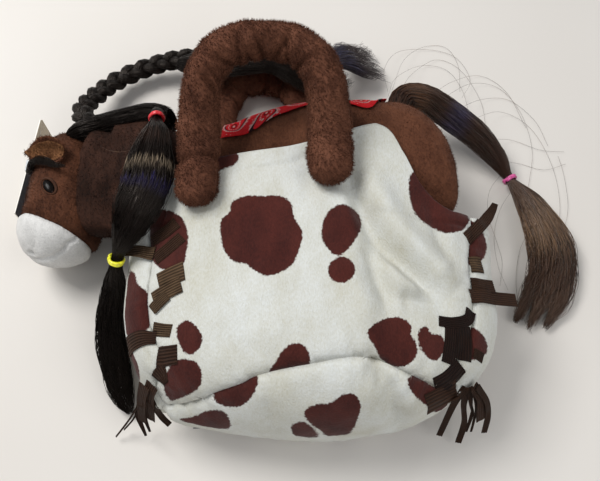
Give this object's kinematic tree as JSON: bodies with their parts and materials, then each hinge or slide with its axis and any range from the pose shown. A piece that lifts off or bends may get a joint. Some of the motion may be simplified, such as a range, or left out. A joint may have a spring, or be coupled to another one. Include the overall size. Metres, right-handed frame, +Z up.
{
  "type": "soft toy",
  "caption": "Plush horse carried in a cow-print plush handbag with two stuffed loop handles; the horse lifts out and the handles fold.",
  "frame": {"origin": "on the bag's flat underside, in the middle of its width, where it lies on the table", "axes": "+X along the horse from head to tail, +Y the way the bag opens, +Z up from the table"},
  "size_m": [0.3968, 0.3165, 0.1384],
  "materials": {
    "white_plush": "short velvet pile, cream white with dark cow patches",
    "brown_plush": "short dark brown pile",
    "muzzle_plush": "smooth white pile",
    "ear_plush": "brown pile, tan and fuzzy inside",
    "satin": "black satin",
    "ribbon": "brown ribbed grosgrain",
    "black_hair": "glossy black synthetic hair",
    "brown_hair": "glossy dark brown synthetic hair with lighter strands",
    "red_cotton": "printed cotton, white and black paisley on red",
    "eye_plastic": "polished",
    "card": "blank coated card",
    "clear_plastic": "translucent",
    "red_elastic": "covered elastic",
    "yellow_elastic": "covered elastic",
    "pink_elastic": "covered elastic",
    "dark_elastic": "covered elastic"
  },
  "bodies": {
    "bag": {"front_panel": "white_plush", "back_panel": "white_plush", "base_panel": "white_plush", "left_gusset": "white_plush", "right_gusset": "white_plush", "lining": "satin", "front_tab_left": "brown_plush", "front_tab_right": "brown_plush", "back_tab_left": "brown_plush", "back_tab_right": "brown_plush", "fringe_left_1": "ribbon", "fringe_left_2": "ribbon", "fringe_left_3": "ribbon", "fringe_left_4": "ribbon", "fringe_left_5": "ribbon", "fringe_left_6": "ribbon", "fringe_left_7": "ribbon", "fringe_left_8": "ribbon", "fringe_right_1": "ribbon", "fringe_right_2": "ribbon", "fringe_right_3": "ribbon", "fringe_right_4": "ribbon", "fringe_right_5": "ribbon", "fringe_right_6": "ribbon", "tassel_left": "ribbon", "tassel_right": "ribbon"},
    "front_handle": {"front_handle": "brown_plush"},
    "back_handle": {"back_handle": "brown_plush"},
    "horse": {"torso": "brown_plush", "neck": "brown_plush", "head": "brown_plush", "muzzle": "muzzle_plush", "near_eye": "eye_plastic", "far_eye": "eye_plastic", "near_ear": "ear_plush", "far_ear": "ear_plush", "near_fore_leg": "brown_plush", "far_fore_leg": "brown_plush", "near_hind_leg": "brown_plush", "far_hind_leg": "brown_plush", "forelock": "black_hair", "mane": "black_hair", "braid": "black_hair", "braid_tuft": "black_hair", "braid_band": "dark_elastic", "ponytail_upper": "black_hair", "ponytail_lower": "black_hair", "red_band": "red_elastic", "yellow_band": "yellow_elastic", "tail_upper": "brown_hair", "tail_lower": "brown_hair", "pink_band": "pink_elastic", "bandana": "red_cotton", "tag_fastener": "clear_plastic"},
    "hang_tag": {"tag_card": "card"}
  },
  "joints": [
    {"name": "front_handle_swing", "type": "hinge", "parent": "bag", "child": "front_handle", "pos_m": [-0.068, 0.062, 0.1103], "axis": [0.9859, 0.1479, 0.0789], "range_deg": [0, 150]},
    {"name": "back_handle_swing", "type": "hinge", "parent": "bag", "child": "back_handle", "pos_m": [-0.03, 0.1, 0], "axis": [1, 0, 0], "range_deg": [-150, 0]},
    {"name": "horse_lift", "type": "slide", "parent": "bag", "child": "horse", "axis": [0, 1, 0], "range_m": [0, 0.2]},
    {"name": "tag_swing", "type": "hinge", "parent": "horse", "child": "hang_tag", "pos_m": [-0.2042, 0.11, 0.02], "axis": [1, 0, 0], "range_deg": [-3, 10]}
  ]
}
